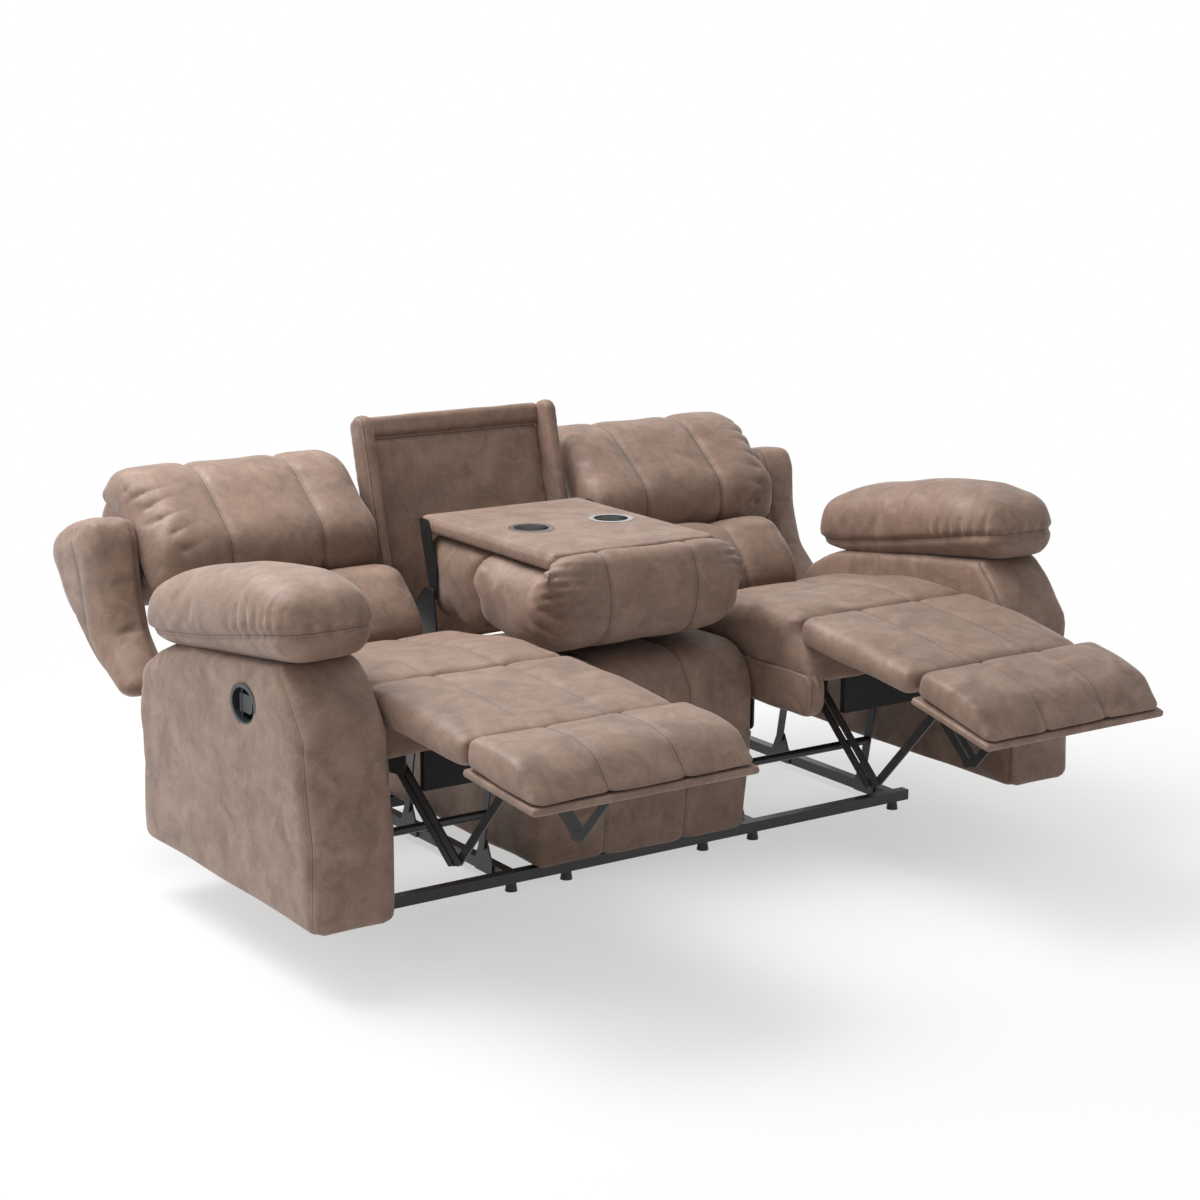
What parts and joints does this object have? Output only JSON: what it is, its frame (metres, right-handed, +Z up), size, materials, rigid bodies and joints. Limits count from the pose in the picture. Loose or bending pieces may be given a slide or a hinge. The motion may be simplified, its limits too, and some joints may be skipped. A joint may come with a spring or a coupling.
{
  "type": "sofa with drop down console",
  "caption": "Three-seat reclining sofa in brown soft fabric, with gliding end seats, opening footrests, reclining backs and a fold-down middle back with cup holders.",
  "frame": {"origin": "middle of the whole sofa's footprint at floor level, in the open pose", "axes": "+X to the right seen from the front, -Y to the front, +Z up"},
  "size_m": [2.06, 1.7727, 0.9525],
  "materials": {
    "brown_fabric": "matt",
    "black_steel": "satin",
    "black_cloth": "matt",
    "plywood": "matt",
    "steel_cup": "brushed",
    "lever_plastic": "satin",
    "foot_plastic": "matt"
  },
  "bodies": {
    "base": {"cross_rails": "black_steel", "feet": "foot_plastic", "middle_seat_box": "brown_fabric", "middle_seat_cushion": "brown_fabric", "niche_panel": "brown_fabric", "niche_sides": "brown_fabric", "side_rails": "black_steel", "console_brackets": "black_steel"},
    "console": {"console_board": "brown_fabric", "console_headrest": "brown_fabric", "console_lumbar": "brown_fabric", "cup_holders": "steel_cup", "console_hinge_arms": "black_steel"},
    "left_front_swing": {"left_front_swing_links": "black_steel"},
    "left_rear_swing": {"left_rear_swing_links": "black_steel"},
    "left_seat_unit": {"left_arm": "brown_fabric", "left_arm_pad": "brown_fabric", "left_lever_bezel": "lever_plastic", "left_seat_side_panels": "brown_fabric", "left_seat_apron": "black_cloth", "left_seat_deck": "plywood", "left_seat_cushion": "brown_fabric", "left_mechanism_plates": "black_steel"},
    "left_lever": {"left_release_lever": "lever_plastic"},
    "left_back": {"left_back_frame": "brown_fabric", "left_back_wing": "brown_fabric", "left_lumbar": "brown_fabric", "left_headrest": "brown_fabric", "left_back_brackets": "black_steel"},
    "left_rest_pad": {"left_footrest_pad": "brown_fabric"},
    "left_reach": {"left_reach_links": "black_steel"},
    "left_twin": {"left_twin_links": "black_steel"},
    "left_lift": {"left_lift_links": "black_steel"},
    "left_flap": {"left_footrest_board": "brown_fabric", "left_flap_pad": "brown_fabric", "left_footrest_brackets": "black_steel"},
    "right_front_swing": {"right_front_swing_links": "black_steel"},
    "right_rear_swing": {"right_rear_swing_links": "black_steel"},
    "right_seat_unit": {"right_arm": "brown_fabric", "right_arm_pad": "brown_fabric", "right_lever_bezel": "lever_plastic", "right_seat_side_panels": "brown_fabric", "right_seat_apron": "black_cloth", "right_seat_deck": "plywood", "right_seat_cushion": "brown_fabric", "right_mechanism_plates": "black_steel"},
    "right_lever": {"right_release_lever": "lever_plastic"},
    "right_back": {"right_back_frame": "brown_fabric", "right_back_wing": "brown_fabric", "right_lumbar": "brown_fabric", "right_headrest": "brown_fabric", "right_back_brackets": "black_steel"},
    "right_rest_pad": {"right_footrest_pad": "brown_fabric"},
    "right_reach": {"right_reach_links": "black_steel"},
    "right_twin": {"right_twin_links": "black_steel"},
    "right_lift": {"right_lift_links": "black_steel"},
    "right_flap": {"right_footrest_board": "brown_fabric", "right_flap_pad": "brown_fabric", "right_footrest_brackets": "black_steel"}
  },
  "joints": [
    {"name": "left_glide", "type": "hinge", "parent": "base", "child": "left_front_swing", "pos_m": [-0.5615, 0.0388, 0.085], "axis": [-1, 0, 0], "range_deg": [0, 65]},
    {"name": "left_seat_on_front_swing", "type": "hinge", "parent": "left_front_swing", "child": "left_seat_unit", "pos_m": [-0.5615, 0.00755, 0.26227], "axis": [1, 0, 0], "range_deg": [0, 65]},
    {"name": "left_rear_swing", "type": "hinge", "parent": "base", "child": "left_rear_swing", "pos_m": [-0.5615, 0.3688, 0.085], "axis": [-1, 0, 0], "range_deg": [0, 65]},
    {"name": "left_rest_pad_fold", "type": "hinge", "parent": "left_seat_unit", "child": "left_rest_pad", "pos_m": [-0.5615, -0.2312, 0.505], "axis": [1, 0, 0], "range_deg": [0, 46.7], "deforming": ["left_footrest_pad"]},
    {"name": "left_reach_link", "type": "hinge", "parent": "left_seat_unit", "child": "left_reach", "pos_m": [-0.5615, -0.21555, 0.39244], "axis": [1, 0, 0], "range_deg": [0, 77.3]},
    {"name": "left_twin_link", "type": "hinge", "parent": "left_seat_unit", "child": "left_twin", "pos_m": [-0.5615, -0.18486, 0.38338], "axis": [1, 0, 0], "range_deg": [0, 77.3]},
    {"name": "left_lift_link", "type": "hinge", "parent": "left_reach", "child": "left_lift", "pos_m": [-0.5615, -0.4312, 0.242], "axis": [-1, 0, 0], "range_deg": [0, 77.3]},
    {"name": "left_footrest_flap", "type": "hinge", "parent": "left_lift", "child": "left_flap", "pos_m": [-0.5615, -0.6312, 0.465], "axis": [1, 0, 0], "range_deg": [0, 86]},
    {"name": "left_recline", "type": "hinge", "parent": "left_seat_unit", "child": "left_back", "pos_m": [-0.5615, 0.3588, 0.4], "axis": [1, 0, 0], "range_deg": [0, 36]},
    {"name": "left_release", "type": "hinge", "parent": "left_seat_unit", "child": "left_lever", "pos_m": [-1.002, -0.1002, 0.54], "axis": [0, 0, -1], "range_deg": [0, 35], "stiffness_Nm_per_rad": 0.3},
    {"name": "right_glide", "type": "hinge", "parent": "base", "child": "right_front_swing", "pos_m": [0.5615, 0.0388, 0.085], "axis": [-1, 0, 0], "range_deg": [0, 65]},
    {"name": "right_seat_on_front_swing", "type": "hinge", "parent": "right_front_swing", "child": "right_seat_unit", "pos_m": [0.5615, 0.00755, 0.26227], "axis": [1, 0, 0], "range_deg": [0, 65]},
    {"name": "right_rear_swing", "type": "hinge", "parent": "base", "child": "right_rear_swing", "pos_m": [0.5615, 0.3688, 0.085], "axis": [-1, 0, 0], "range_deg": [0, 65]},
    {"name": "right_rest_pad_fold", "type": "hinge", "parent": "right_seat_unit", "child": "right_rest_pad", "pos_m": [0.5615, -0.2312, 0.505], "axis": [1, 0, 0], "range_deg": [0, 42.5], "deforming": ["right_footrest_pad"]},
    {"name": "right_reach_link", "type": "hinge", "parent": "right_seat_unit", "child": "right_reach", "pos_m": [0.5615, -0.21555, 0.39244], "axis": [1, 0, 0], "range_deg": [0, 70.34]},
    {"name": "right_twin_link", "type": "hinge", "parent": "right_seat_unit", "child": "right_twin", "pos_m": [0.5615, -0.18486, 0.38338], "axis": [1, 0, 0], "range_deg": [0, 70.34]},
    {"name": "right_lift_link", "type": "hinge", "parent": "right_reach", "child": "right_lift", "pos_m": [0.5615, -0.41139, 0.21699], "axis": [-1, 0, 0], "range_deg": [0, 70.34]},
    {"name": "right_footrest_flap", "type": "hinge", "parent": "right_lift", "child": "right_flap", "pos_m": [0.5615, -0.61139, 0.43999], "axis": [1, 0, 0], "range_deg": [0, 78.26]},
    {"name": "right_recline", "type": "hinge", "parent": "right_seat_unit", "child": "right_back", "pos_m": [0.5615, 0.3588, 0.4], "axis": [1, 0, 0], "range_deg": [0, 36]},
    {"name": "right_release", "type": "hinge", "parent": "right_seat_unit", "child": "right_lever", "pos_m": [1.002, -0.1002, 0.54], "axis": [0, 0, 1], "range_deg": [0, 35], "stiffness_Nm_per_rad": 0.3},
    {"name": "console_fold", "type": "hinge", "parent": "base", "child": "console", "pos_m": [0, 0.4488, 0.565], "axis": [-1, 0, 0], "range_deg": [0, 105]}
  ],
  "couplings": [
    {"joint": "left_seat_on_front_swing", "follows": "left_glide", "ratio": 1},
    {"joint": "left_rear_swing", "follows": "left_glide", "ratio": 1},
    {"joint": "left_rest_pad_fold", "follows": "left_glide", "ratio": 0.71846},
    {"joint": "left_reach_link", "follows": "left_glide", "ratio": 1.1892},
    {"joint": "left_twin_link", "follows": "left_glide", "ratio": 1.1892},
    {"joint": "left_lift_link", "follows": "left_glide", "ratio": 1.1892},
    {"joint": "left_footrest_flap", "follows": "left_glide", "ratio": 1.3231},
    {"joint": "right_seat_on_front_swing", "follows": "right_glide", "ratio": 1},
    {"joint": "right_rear_swing", "follows": "right_glide", "ratio": 1},
    {"joint": "right_rest_pad_fold", "follows": "right_glide", "ratio": 0.6538},
    {"joint": "right_reach_link", "follows": "right_glide", "ratio": 1.0822},
    {"joint": "right_twin_link", "follows": "right_glide", "ratio": 1.0822},
    {"joint": "right_lift_link", "follows": "right_glide", "ratio": 1.0822},
    {"joint": "right_footrest_flap", "follows": "right_glide", "ratio": 1.204}
  ]
}
